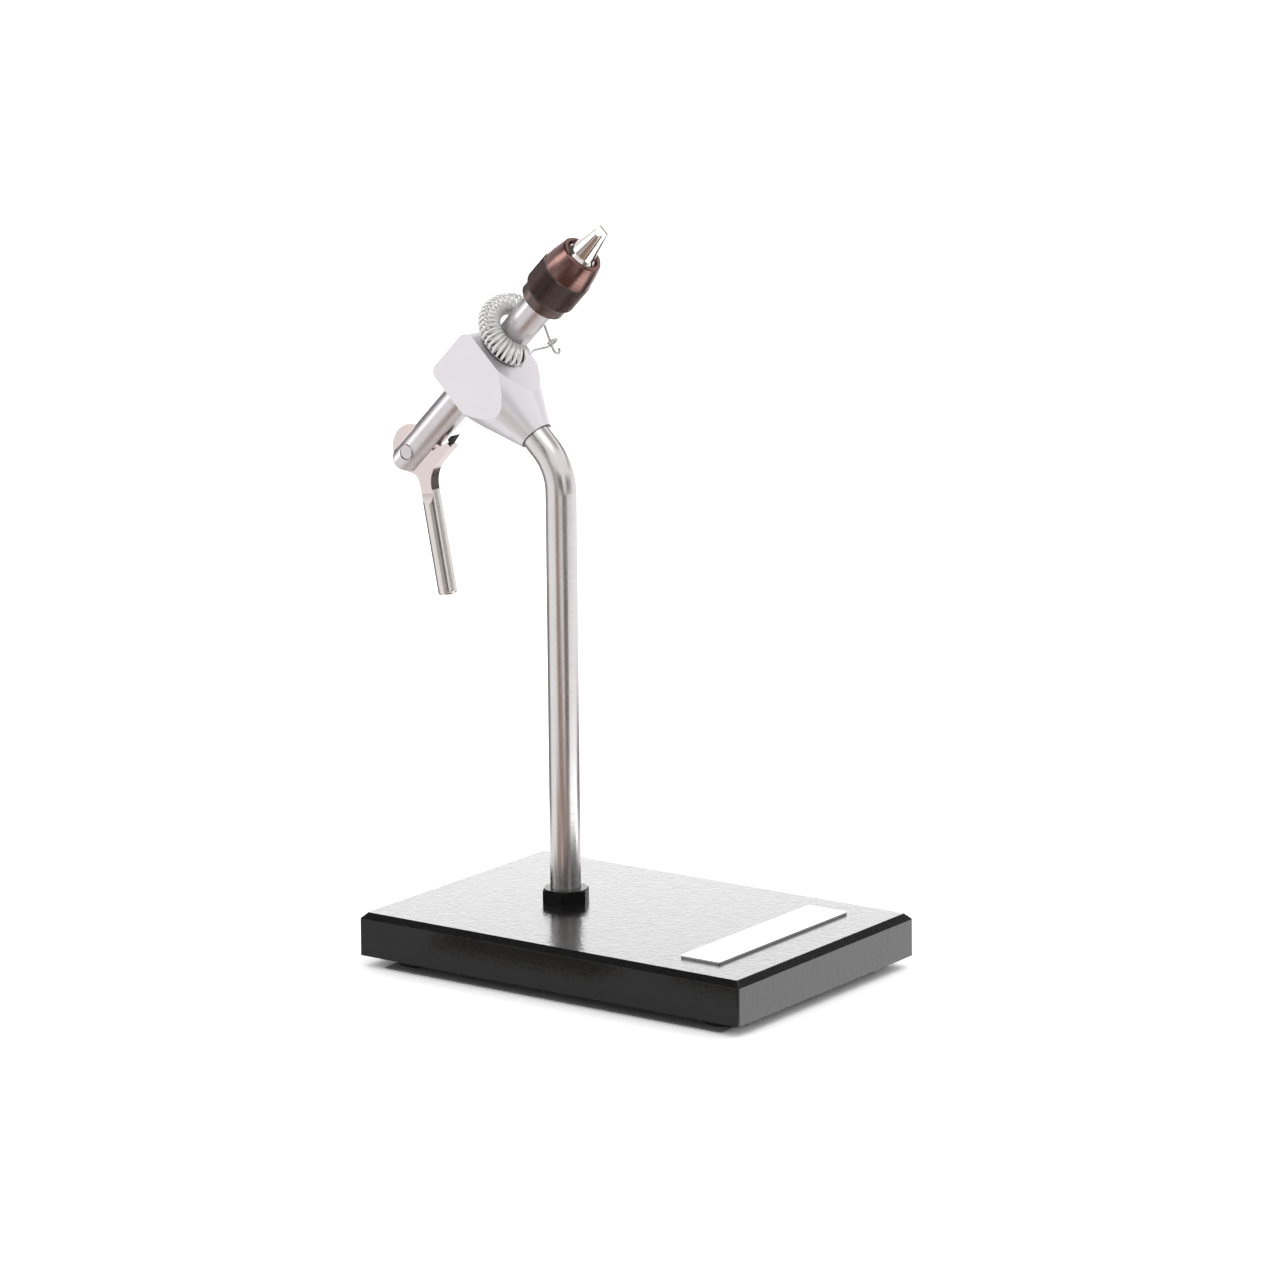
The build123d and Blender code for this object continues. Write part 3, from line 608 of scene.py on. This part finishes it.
@dataclass
class MaterialSpring:
    """Open coil bent round the barrel, its ends linked by an eye and a hook.

    Sizes are in millimetres and angles in degrees. hook_room and lead_run are in wire diameters, and
    lead_pull and link_facing are shares.
    """

    wire: float = 0.9
    coil_diameter: float = 7.5
    coils: int = 29
    reach: float = 19.3
    tilt: float = 13.4
    lean: float = 6.7
    lift: float = 0.4
    span: float = 240.0
    start: float = -108.0
    barrel_radius: float = 5.55
    slack: float = 0.75
    eye_radius: float = 2.3
    eye_turn: float = 270.0
    hook_radius: float = 1.9
    hook_turn: float = 180.0
    hook_room: float = 2.0
    lead_run: float = 4.0
    lead_pull: float = 0.6
    link_radius: float = 11.9
    link_rise: float = 1.6
    link_facing: float = 0.64
    steps: int = 24
    tangent_step: float = 0.001

    def leant(self) -> Vector:
        """Direction along the barrel, leant forward as the ring is."""
        lean = math.radians(self.lean)
        return LAYOUT.along() * math.cos(lean) - LAYOUT.above() * math.sin(lean)

    def front(self) -> Vector:
        """Axis of the ring that the coil is bent to."""
        tilt = math.radians(self.tilt)
        return self.leant() * math.cos(tilt) - LAYOUT.across() * math.sin(tilt)

    def out(self) -> Vector:
        """Direction from the ring's middle to its far side."""
        tilt = math.radians(self.tilt)
        return self.leant() * math.sin(tilt) + LAYOUT.across() * math.cos(tilt)

    def radial(self, angle: float) -> Vector:
        """Outward direction in the ring at an angle in degrees."""
        turn = math.radians(angle)
        return self.out() * math.cos(turn) + self.front().cross(self.out()) * math.sin(turn)

    def link_way(self) -> Vector:
        """Outward direction to the middle of the gap where the ends link up."""
        return self.radial(self.start + (360.0 - self.span) / 2)

    def centre(self) -> Vector:
        """Middle of the ring, in metres."""
        return LAYOUT.at(self.reach, self.lift)

    def coil_point(self, turns: float) -> Vector:
        """Middle of the wire after a number of turns.

        Args:
            turns: Turns from the coil's start.

        Returns:
            The point in metres.
        """
        coil = (self.coil_diameter - self.wire) / 2
        ring = self.barrel_radius + self.coil_diameter / 2 + self.slack
        phase = 2 * math.pi * turns + math.pi / 2
        way = self.radial(self.start - self.span * turns / self.coils)
        offset = way * (ring + coil * math.cos(phase)) + self.front() * (coil * math.sin(phase))
        return self.centre() + offset * MM

    def lead_in(self, foot: Vector, way: Vector, turns: float, sense: float) -> list[Vector]:
        """Smooth run between a straight end of the wire and the coil.

        Args:
            foot: Where the straight end stops.
            way: Its direction towards the coil.
            turns: The turn of the coil that it joins.
            sense: +1 where the coil runs on from there, -1 where it has come from there.

        Returns:
            Points from the foot to the coil.
        """
        joint = self.coil_point(turns)
        after = self.coil_point(turns + self.tangent_step)
        before = self.coil_point(turns - self.tangent_step)
        tangent = (after - before).normalized() * sense
        pull = (joint - foot).length * self.lead_pull
        return interpolate_bezier(foot, foot + way * pull, joint - tangent * pull, joint, self.steps // 2)

    def arc(self, middle: Vector, first: Vector, second: Vector, radius: float, turn: float) -> list[Vector]:
        """Points of an arc.

        Args:
            middle: Its centre.
            first: Direction from the centre to its start.
            second: Direction square to that, towards its end.
            radius: Its radius in millimetres.
            turn: How far it goes round, in degrees.

        Returns:
            The points, from start to end.
        """
        angles = [math.radians(turn) * k / self.steps for k in range(self.steps + 1)]
        return [middle + (first * math.cos(a) + second * math.sin(a)) * radius * MM for a in angles]

    def route(self) -> list[Vector]:
        """Middle line of the whole wire: eye, coil and hook.

        Returns:
            The points in metres.
        """
        link = self.centre() + (self.link_way() * self.link_radius + self.front() * self.link_rise) * MM
        begin = self.coil_point(0.0)
        end = self.coil_point(self.coils)
        lead = (link - begin).normalized()
        side = (self.front() - lead * self.front().dot(lead)).normalized()
        entry = link - side * self.eye_radius * MM
        lead = (entry - begin).normalized()
        side = (side - lead * side.dot(lead)).normalized()
        eye = entry + side * self.eye_radius * MM
        far_lead = (eye - end).normalized()
        hook_side = (lead - far_lead * lead.dot(far_lead)).normalized()
        hook_entry = eye + far_lead * self.hook_room * self.wire * MM
        hook = hook_entry + hook_side * self.hook_radius * MM
        run = self.lead_run * self.wire * MM
        path = self.arc(eye, -lead, side, self.eye_radius, self.eye_turn)
        path += self.lead_in(begin + lead * run, -lead, 0.0, 1.0)
        path += [self.coil_point(k / self.steps) for k in range(1, self.coils * self.steps)]
        path += reversed(self.lead_in(end + far_lead * run, -far_lead, self.coils, -1.0))
        path += self.arc(hook, -hook_side, far_lead, self.hook_radius, self.hook_turn)
        return path

    def on_link(self, middle: Vector, normal: Vector) -> bool:
        """Tells whether a face is on the plain ends that link up."""
        spoke = (middle - self.centre()).normalized()
        return spoke.dot(self.link_way()) > self.link_facing

    def build(self) -> None:
        """Winds the spring and hangs it on the barrel."""
        coil = wire("material_spring_wound", self.route(), self.wire)
        settle(coil, SPRING_WIRE, "barrel", ["material_spring"])
        touch(coil, LINK_STEEL, self.on_link)


@dataclass
class Barrel:
    """Turning barrel with its pin, in millimetres."""

    edge: float = 0.2
    pin_edge: float = 0.1

    def build(self) -> None:
        """Builds the barrel and the lever's pin."""
        tube = softened("barrel", "barrel_tube", self.edge)
        settle(tube, BARREL_STEEL, "barrel", ["barrel"])
        pin = softened("lever_pin", "lever_pin_turned", self.pin_edge)
        settle(pin, BARREL_STEEL, "barrel", ["lever_pin"])


@dataclass
class Collar:
    """Knurled collar that the jaws draw into, in millimetres along the barrel and from its axis.

    outward is the least share of an outer face's normal that looks away from the axis.
    """

    front: float = 57.9
    rear: float = 34.0
    thread_r: float = 5.6
    ring_r: float = 8.0
    knurl_r: float = 9.15
    knurl_rear: float = 38.2
    knurl_front: float = 49.2
    knurl_edge: float = 0.7
    knurl_rows: int = 24
    knurl_steps: int = 136
    knurl_depth: float = 0.3
    knurl_slack: float = 0.03
    nose_bulge: float = 0.2
    nose_points: int = 10
    rim_r: float = 7.255
    rim_round: float = 0.4
    mouth_r: float = 5.855
    web_r: float = 3.9
    web_rear: float = 50.3
    seat_rear: float = 52.53
    outward: float = 0.1
    sharp_turn: float = 24.0

    def band(self) -> list[float]:
        """Places along the barrel of the knurl's rows.

        Returns:
            Millimetres from the head's middle, from rear to front.
        """
        first = self.knurl_rear + self.knurl_edge
        last = self.knurl_front - self.knurl_edge
        return [first + (last - first) * k / self.knurl_rows for k in range(self.knurl_rows + 1)]

    def nose(self) -> list[Place]:
        """Outline of the barrel shaped nose, from the knurl to the rim.

        Returns:
            Points as (along, radius).
        """
        start = self.knurl_front
        start_r = self.knurl_r - self.knurl_edge / 2
        length = self.front - self.rim_round - start
        outline = []
        for k in range(self.nose_points + 1):
            share = k / self.nose_points
            swell = 4 * share * (1 - share) * self.nose_bulge
            outline.append((start + length * share, start_r + (self.rim_r - start_r) * share + swell))
        return outline

    def profile(self) -> list[Place]:
        """Closed outline of the collar's wall.

        Returns:
            Points as (along, radius).
        """
        return [
            (self.front, self.mouth_r),
            (self.seat_rear, self.web_r),
            (self.web_rear, self.web_r),
            (self.web_rear, self.thread_r),
            (self.rear, self.thread_r),
            (self.rear, self.ring_r - self.rim_round),
            (self.rear + self.rim_round, self.ring_r),
            (self.knurl_rear - self.knurl_edge, self.ring_r),
            (self.knurl_rear, self.knurl_r - self.knurl_edge),
            *((s, self.knurl_r) for s in self.band()),
            *self.nose(),
            (self.front, self.rim_r - self.rim_round),
        ]

    def turned(self) -> bmesh.types.BMesh:
        """Turns the outline round the barrel's axis.

        Returns:
            The closed wall, still smooth.
        """
        shape = bmesh.new()
        ring = [shape.verts.new(LAYOUT.at(s, 0.0, r)) for s, r in self.profile()]
        for first, second in zip(ring, ring[1:] + ring[:1]):
            shape.edges.new((first, second))
        bmesh.ops.spin(
            shape,
            geom=shape.verts[:] + shape.edges[:],
            cent=LAYOUT.at(0.0),
            axis=LAYOUT.along(),
            angle=2 * math.pi,
            steps=self.knurl_steps,
            use_merge=True,
        )
        merge(shape)
        bmesh.ops.recalc_face_normals(shape, faces=shape.faces)
        return shape

    def knurl(self, shape: bmesh.types.BMesh) -> None:
        """Cuts the diamonds: every second point of the band sinks, and low points join up.

        Args:
            shape: The turned wall.
        """
        rows = self.band()
        pitch = rows[1] - rows[0]
        cut = {}
        for vert in shape.verts:
            s, spoke = LAYOUT.measure(vert.co)
            row = round((s - rows[0]) / pitch)
            on_band = abs(spoke.length / MM - self.knurl_r) < self.knurl_slack
            if not on_band or not 0 <= row <= self.knurl_rows:
                continue
            angle = math.atan2(spoke.dot(LAYOUT.above()), spoke.dot(LAYOUT.across()))
            column = round(angle * self.knurl_steps / (2 * math.pi))
            cut.update(dict.fromkeys(vert.link_faces))
            if (row + column) % 2:
                vert.co -= spoke.normalized() * self.knurl_depth * MM
        bmesh.ops.triangulate(shape, faces=list(cut), quad_method="SHORT_EDGE")

    def on_knurl(self, middle: Vector, normal: Vector) -> bool:
        """Tells whether a face is outside, on the knurled band or the ring behind it, which get painted
        shade.
        """
        s, spoke = LAYOUT.measure(middle)
        return s < self.knurl_front and spoke.normalized().dot(normal) > self.outward

    def build(self) -> None:
        """Turns the collar, knurls it and dresses it."""
        shape = self.turned()
        self.knurl(shape)
        collar = from_bmesh(shape, "collar_knurled", self.sharp_turn)
        settle(collar, COLLAR_BROWN, "collar", ["collar"])
        # Painted shade: the knurl and the rear ring are coloured darker than the nose
        touch(collar, COLLAR_PAINTED_SHADE, self.on_knurl)


@dataclass
class Jaws:
    """Split jaws on the draw bar, and the spring that parts them, in millimetres and degrees."""

    edge: float = 0.12
    edge_turn: float = 20.0
    spring_reach: float = 45.0
    spring_diameter: float = 2.4
    spring_wire: float = 0.4
    spring_turns: int = 3
    spring_half: float = 1.9
    steps: int = 24

    def spring(self) -> None:
        """Winds the small spring between the jaws."""
        coil = (self.spring_diameter - self.spring_wire) / 2
        count = self.spring_turns * self.steps
        route = []
        for k in range(count + 1):
            turn = 2 * math.pi * k / self.steps
            level = self.spring_half * (2 * k / count - 1)
            route.append(LAYOUT.at(self.spring_reach + coil * math.cos(turn), coil * math.sin(turn), level))
        made = wire("jaw_spring_wound", route, self.spring_wire)
        settle(made, SPRING_WIRE, "draw", ["jaw_spring"])

    def build(self) -> None:
        """Builds the jaws and their spring, and dresses what moves them."""
        for node in ("jaw_near", "jaw_far"):
            half = softened(node, f"{node}_polished", self.edge, self.edge_turn)
            settle(half, JAW_STEEL, node, [node])
        self.spring()
        dress_nodes(draw_bar=JAW_STEEL, follower_pin=ZINC)


@dataclass
class Lever:
    """Cam lever with its stop pad, in millimetres and degrees from the lever's pin. The pad's black is
    painted reflection, standing in for a dark reflection at the horn's tip.

    The values on facing and slope are shares of a face's normal.
    """

    edge: float = 0.25
    pad_edge: float = 0.15
    pin_reach: float = 42.0
    drop: float = 55.5
    scoop_top: float = 8.8
    scoop_end: float = 13.9
    scoop_facing: float = 0.5
    handle_top: float = 15.0
    handle_facing: float = 0.999
    runout_end: float = 30.0
    runout_slope: float = 0.08
    runout_facing: float = 0.3

    def down(self) -> Vector:
        """Unit vector from the pin along the handle."""
        drop = math.radians(self.drop)
        return -LAYOUT.along() * math.cos(drop) - LAYOUT.above() * math.sin(drop)

    def forward(self) -> Vector:
        """Unit vector square to the handle, to the post."""
        drop = math.radians(self.drop)
        return LAYOUT.along() * math.sin(drop) - LAYOUT.above() * math.cos(drop)

    def reach(self, middle: Vector) -> float:
        """Millimetres of a point along the handle from the pin."""
        return (middle - LAYOUT.at(-self.pin_reach)).dot(self.down()) / MM

    def in_scoop(self, middle: Vector, normal: Vector) -> bool:
        """Tells whether a face is in the scoop above the handle, which gets painted shade."""
        inside = self.scoop_top < self.reach(middle) < self.scoop_end
        return inside and normal.dot(self.forward()) > self.scoop_facing

    def on_handle(self, middle: Vector, normal: Vector) -> bool:
        """Tells whether a face is on the turned handle."""
        is_round = abs(normal.dot(LAYOUT.across())) < self.handle_facing
        return is_round and self.reach(middle) > self.handle_top

    def in_runout(self, middle: Vector, normal: Vector) -> bool:
        """Tells whether a face is where the cut of the flat part runs out into the handle."""
        inside = self.scoop_top < self.reach(middle) < self.runout_end
        tipped = abs(normal.dot(self.down())) > self.runout_slope
        return inside and tipped and abs(normal.dot(self.forward())) < self.runout_facing

    def build(self) -> None:
        """Builds the lever and its pad."""
        arm = softened("cam_lever", "cam_lever_smooth", self.edge)
        settle(arm, LEVER_STEEL, "lever", ["cam_lever"])
        # Painted shade: the scoop is coloured dark
        touch(arm, PAINTED_SHADE_DARK, self.in_scoop)
        touch(arm, HANDLE_STEEL, self.on_handle)
        # Painted shade: the runout is coloured darker than the rest of the lever
        touch(arm, RUNOUT_PAINTED_SHADE, self.in_runout)
        # Painted reflection: the black pad stands in for a dark reflection at the horn's tip
        pad = softened("stop_pad", "stop_pad_painted_reflection", self.pad_edge)
        settle(pad, PAD_PAINTED_REFLECTION, "lever", ["stop_pad"])


@dataclass(frozen=True)
class Card:
    """A toned card that only reflections see, its corners in metres.

    A card with one side is clear from its back and from near by.
    """

    name: str
    outline: Outline
    tone: Colour
    one_sided: bool = False


def lying(height: float, *places: Place) -> Outline:
    """Corners of a card that lies level at a height."""
    return tuple((x, y, height) for x, y in places)


def standing(first: Place, second: Place, low: float, high: float) -> Outline:
    """Corners of a card that stands over two places, from one height to another."""
    return ((*first, low), (*second, low), (*second, high), (*first, high))


# Heights of cards in metres: just over the floor, just over the base, and the top of the upright ones
OVER_FLOOR = 0.001
OVER_BASE = 0.0188
UPRIGHT_TOP = 0.4

# Flags darken a reflection, glows brighten it, and plain cards tone it
CARDS = (
    Card(
        "flag_left_front",
        lying(OVER_FLOOR, (0.02, -0.09), (0.15, -0.09), (0.2, -1.1), (-0.28, -1.1)),
        tone=(0.32, 0.22, 0.16),
    ),
    Card(
        "flag_right_front",
        lying(OVER_FLOOR, (0.15, -0.16), (0.15, -0.04), (1.2, -0.24), (0.85, -0.88)),
        tone=(0.12, 0.085, 0.07),
    ),
    Card(
        "flag_left_upright",
        standing((0.5, -1.08), (0.91, -0.7), low=OVER_FLOOR, high=UPRIGHT_TOP),
        tone=(0.1, 0.08, 0.07),
    ),
    Card(
        "card_left_upright",
        standing((-0.2, -1.2), (0.5, -1.08), low=OVER_FLOOR, high=UPRIGHT_TOP),
        tone=(0.5, 0.47, 0.45),
    ),
    Card(
        "flag_right_upright",
        standing((1.11, -0.25), (1.11, 0.25), low=OVER_FLOOR, high=UPRIGHT_TOP),
        tone=(0.2, 0.17, 0.15),
    ),
    Card(
        "card_right_upright",
        standing((1.11, 0.25), (0.9, 0.6), low=OVER_FLOOR, high=UPRIGHT_TOP),
        tone=grey(0.5),
    ),
    Card(
        "flag_near",
        lying(OVER_FLOOR, (-0.14, -0.24), (-0.07, -0.08), (0.0, -0.08), (-0.03, -0.24)),
        tone=(0.35, 0.25, 0.2),
    ),
    Card(
        "glow_base",
        lying(OVER_BASE, (-0.07, -0.05), (0.045, -0.05), (0.045, 0.045), (-0.07, 0.045)),
        tone=(0.85, 0.8, 0.74),
        one_sided=True,
    ),
    Card(
        "flag_left",
        ((-0.2, -0.04, OVER_FLOOR), (-0.2, 0.14, OVER_FLOOR), (-0.8, 0.6, 0.45), (-0.8, -0.12, 0.45)),
        tone=grey(0.22),
    ),
    Card(
        "glow_left",
        standing((-1.1, -0.5), (-0.9, -0.8), low=0.12, high=0.42),
        tone=grey(2.4),
    ),
    Card(
        "glow_high",
        standing((-1.08, -0.55), (-0.62, -1.04), low=0.57, high=1.0),
        tone=grey(4.5),
    ),
    Card(
        "glow_neck",
        ((0.15, -0.6, 0.85), (0.6, -0.45, 0.85), (0.55, -0.05, 1.05), (0.15, -0.15, 1.05)),
        tone=grey(1.8),
    ),
    Card(
        "flag_neck",
        ((-0.24, -1.1, 0.44), (0.1, -1.15, 0.44), (0.18, -0.95, 0.8), (-0.1, -1.0, 0.8)),
        tone=grey(0.1),
    ),
    Card(
        "card_jaws",
        ((-0.46, -1.11, 0.26), (-0.135, -1.19, 0.2), (-0.135, -1.19, 0.42), (-0.46, -1.11, 0.42)),
        tone=(0.32, 0.3, 0.31),
    ),
    Card(
        "flag_top_right",
        lying(0.9, (0.15, 0.1), (0.6, 0.1), (0.6, 0.6), (0.15, 0.6)),
        tone=(0.4, 0.39, 0.39),
    ),
    Card(
        "flag_middle",
        ((-0.6, -1.04, 0.12), (-0.83, -0.86, 0.12), (-0.93, -0.75, 0.55), (-0.79, -0.9, 0.55)),
        tone=(0.25, 0.23, 0.22),
    ),
    Card(
        "flag_top",
        ((-0.9, -0.6, 0.8), (0.1, -0.6, 0.9), (0.1, 0.3, 0.9), (-0.9, 0.3, 0.8)),
        tone=grey(0.1),
    ),
    Card(
        "flag_back",
        ((-0.3, 0.8, 0.42), (0.8, 0.8, 0.42), (0.8, 0.7, 0.6), (-0.3, 0.7, 0.6)),
        tone=(0.25, 0.22, 0.23),
    ),
    Card(
        "card_back",
        ((-0.3, 0.7, 0.6), (0.8, 0.7, 0.6), (0.8, 0.5, 1.0), (-0.3, 0.5, 1.0)),
        tone=(1.1, 1.08, 1.1),
    ),
    Card(
        "glow_back",
        standing((-1.0, 0.7), (-0.3, 1.15), low=0.002, high=0.5),
        tone=grey(3.8),
    ),
    Card(
        "glow_right",
        lying(OVER_FLOOR, (0.078, -0.06), (0.17, -0.06), (0.17, 0.125), (0.078, 0.125)),
        tone=grey(3.3),
    ),
    Card(
        "flag_far",
        lying(OVER_FLOOR, (-0.03, 0.17), (0.1, 0.17), (0.1, 0.36), (-0.06, 0.36)),
        tone=(0.12, 0.11, 0.11),
    ),
)


@dataclass
class Studio:
    """Floor, light and camera.

    The camera's place, its sensor and the painted shadow sheet are in millimetres, angles in degrees,
    the image in pixels and the rest in metres and watts.
    """

    focal_px: float = 5300.0
    image_px: float = 1280.0
    sensor: float = 36.0
    clip_start: float = 0.05
    clip_end: float = 100.0
    yaw: float = 35.672
    pitch: float = 12.247
    roll: float = -0.507
    distance: float = 1754.904
    shift_right: float = -1.311
    shift_up: float = -104.343
    sky_light: float = 0.95
    floor_size: float = 6.0
    floor_tone: float = 0.9
    floor_lift: float = 0.12
    floor_white: float = 1.5
    shadow_length: float = 136.0
    shadow_width: float = 97.6
    shadow_height: float = 0.3
    shadow_tone: float = 0.35
    card_near: float = 0.12
    lamp_place: Point = (0.5, 0.9, 1.2)
    lamp_aim: Point = (0.0, 0.0, 0.1)
    lamp_side: float = 1.0
    lamp_power: float = 3.0

    def camera(self) -> None:
        """Places the camera at the photograph's angle."""
        yaw, pitch, roll = (math.radians(v) for v in (self.yaw, self.pitch, self.roll))
        back = Vector((math.sin(yaw) * math.cos(pitch), -math.cos(yaw) * math.cos(pitch), math.sin(pitch)))
        level = Vector((math.cos(yaw), math.sin(yaw), 0.0))
        rise = back.cross(level)
        right = level * math.cos(roll) + rise * math.sin(roll)
        up = rise * math.cos(roll) - level * math.sin(roll)
        spot = back * self.distance - right * self.shift_right - up * self.shift_up
        spot.z += Stand.foot_height
        lens = bpy.data.cameras.new("camera")
        lens.sensor_width = self.sensor
        lens.lens = self.sensor * self.focal_px / self.image_px
        lens.clip_start = self.clip_start
        lens.clip_end = self.clip_end
        made = bpy.data.objects.new("camera", lens)
        bpy.context.scene.collection.objects.link(made)
        turn = Matrix((right, up, back)).transposed()
        made.matrix_world = Matrix.Translation(spot * MM) @ turn.to_4x4()
        bpy.context.scene.camera = made

    def plain(self, name: str, colour: Colour, glow: Colour) -> bpy.types.Material:
        """A matt material for the studio.

        Args:
            name: The material's name.
            colour: Its colour in light.
            glow: The light that it gives off.

        Returns:
            The material.
        """
        look = bpy.data.materials.new(name)
        look.use_nodes = True
        shader = look.node_tree.nodes["Principled BSDF"]
        shader.inputs["Base Color"].default_value = (*colour, 1.0)
        shader.inputs["Roughness"].default_value = 1.0
        shader.inputs["Specular IOR Level"].default_value = 0.0
        shader.inputs["Emission Color"].default_value = (*glow, 1.0)
        shader.inputs["Emission Strength"].default_value = 1.0
        return look

    def seen(self, tree: Tree) -> Socket:
        """Tells apart the rays that show the background, straight or in metal and glass.

        Args:
            tree: The nodes to add to.

        Returns:
            1 on rays of the camera, of reflections and through glass, 0 on the rest.
        """
        path = tree.nodes.new("ShaderNodeLightPath")
        found = path.outputs["Is Camera Ray"]
        for kind in ("Is Glossy Ray", "Is Transmission Ray"):
            found = work_out(tree, Sum.MAXIMUM, found, path.outputs[kind])
        return found

    def floor(self) -> None:
        """Lays a white floor that keeps the shadow."""
        shape = bmesh.new()
        bmesh.ops.create_grid(shape, x_segments=1, y_segments=1, size=self.floor_size)
        made = from_bmesh(shape, "floor")
        look = self.plain("floor_white", grey(self.floor_tone), grey(1.0))
        tree = look.node_tree
        shader = tree.nodes["Principled BSDF"]
        lift = work_out(tree, Sum.MULTIPLY, self.seen(tree), self.floor_lift)
        tree.links.new(lift, shader.inputs["Emission Strength"])
        white = tree.nodes.new("ShaderNodeBsdfDiffuse")
        white.inputs["Color"].default_value = (*grey(self.floor_white), 1.0)
        straight = tree.nodes.new("ShaderNodeLightPath").outputs["Is Camera Ray"]
        mix_surface(tree, "Material Output", straight, shader.outputs["BSDF"], white.outputs["BSDF"])
        made.data.materials.append(look)

    def painted_shadow(self) -> None:
        """Lays a dark sheet on the floor under the base, within its outline, as painted shadow."""
        shape = bmesh.new()
        bmesh.ops.create_grid(shape, x_segments=1, y_segments=1, size=MM / 2)
        bmesh.ops.scale(shape, vec=(self.shadow_length, self.shadow_width, 1.0), verts=shape.verts)
        bmesh.ops.translate(shape, vec=(0.0, 0.0, self.shadow_height * MM), verts=shape.verts)
        made = from_bmesh(shape, "painted_shadow")
        made.data.materials.append(self.plain("painted_shadow_dark", grey(self.shadow_tone), grey(0.0)))

    def world(self) -> None:
        """Makes a soft surround that the camera and reflections see as white."""
        sky = bpy.data.worlds.new("surround")
        bpy.context.scene.world = sky
        sky.use_nodes = True
        tree = sky.node_tree
        soft = tree.nodes["Background"]
        white = tree.nodes.new("ShaderNodeBackground")
        for light, strength in ((soft, self.sky_light), (white, 1.0)):
            light.inputs["Color"].default_value = (*grey(1.0), 1.0)
            light.inputs["Strength"].default_value = strength
        shaders = (soft.outputs["Background"], white.outputs["Background"])
        mix_surface(tree, "World Output", self.seen(tree), *shaders)

    def lamp(self) -> None:
        """Hangs one soft lamp behind the vise."""
        light = bpy.data.lights.new("soft_back", "AREA")
        light.shape = "RECTANGLE"
        light.size = self.lamp_side
        light.size_y = self.lamp_side
        light.energy = self.lamp_power
        made = bpy.data.objects.new("soft_back", light)
        bpy.context.scene.collection.objects.link(made)
        place = Vector(self.lamp_place)
        turn = (Vector(self.lamp_aim) - place).to_track_quat("-Z", "Y").to_matrix().to_4x4()
        made.matrix_world = Matrix.Translation(place) @ turn
        made.visible_camera = False

    def clear_behind(self, look: bpy.types.Material) -> None:
        """Makes a card's material clear from the card's back and from near by.

        Args:
            look: The card's plain material.
        """
        tree = look.node_tree
        back = tree.nodes.new("ShaderNodeNewGeometry").outputs["Backfacing"]
        length = tree.nodes.new("ShaderNodeLightPath").outputs["Ray Length"]
        near = work_out(tree, Sum.LESS_THAN, length, self.card_near)
        hidden = work_out(tree, Sum.MAXIMUM, back, near)
        shown = tree.nodes["Principled BSDF"].outputs["BSDF"]
        clear = tree.nodes.new("ShaderNodeBsdfTransparent").outputs["BSDF"]
        mix_surface(tree, "Material Output", hidden, shown, clear)

    def set_up(self, card: Card) -> None:
        """Sets up one card.

        Args:
            card: The card.
        """
        shape = bmesh.new()
        shape.faces.new([shape.verts.new(corner) for corner in card.outline])
        made = from_bmesh(shape, card.name)
        look = self.plain(card.name, grey(0.0), card.tone)
        if card.one_sided:
            self.clear_behind(look)
        made.data.materials.append(look)
        made.visible_camera = False
        made.visible_diffuse = False
        made.visible_shadow = False

    def build(self) -> None:
        """Builds floor, surround, lamp, cards and camera."""
        bpy.context.scene.view_settings.view_transform = "Standard"
        self.floor()
        # Painted shadow: a dark sheet on the floor under the base
        self.painted_shadow()
        self.world()
        self.lamp()
        for card in CARDS:
            self.set_up(card)
        self.camera()


def main() -> None:
    """Builds every sub-assembly in order, then the studio."""
    logging.basicConfig(level=logging.INFO)
    for part in (Stand(), Head(), Barrel(), MaterialSpring(), Collar(), Jaws(), Lever(), Studio()):
        part.build()
        LOG.info("built %s", type(part).__name__)


if __name__ == "__main__":
    main()
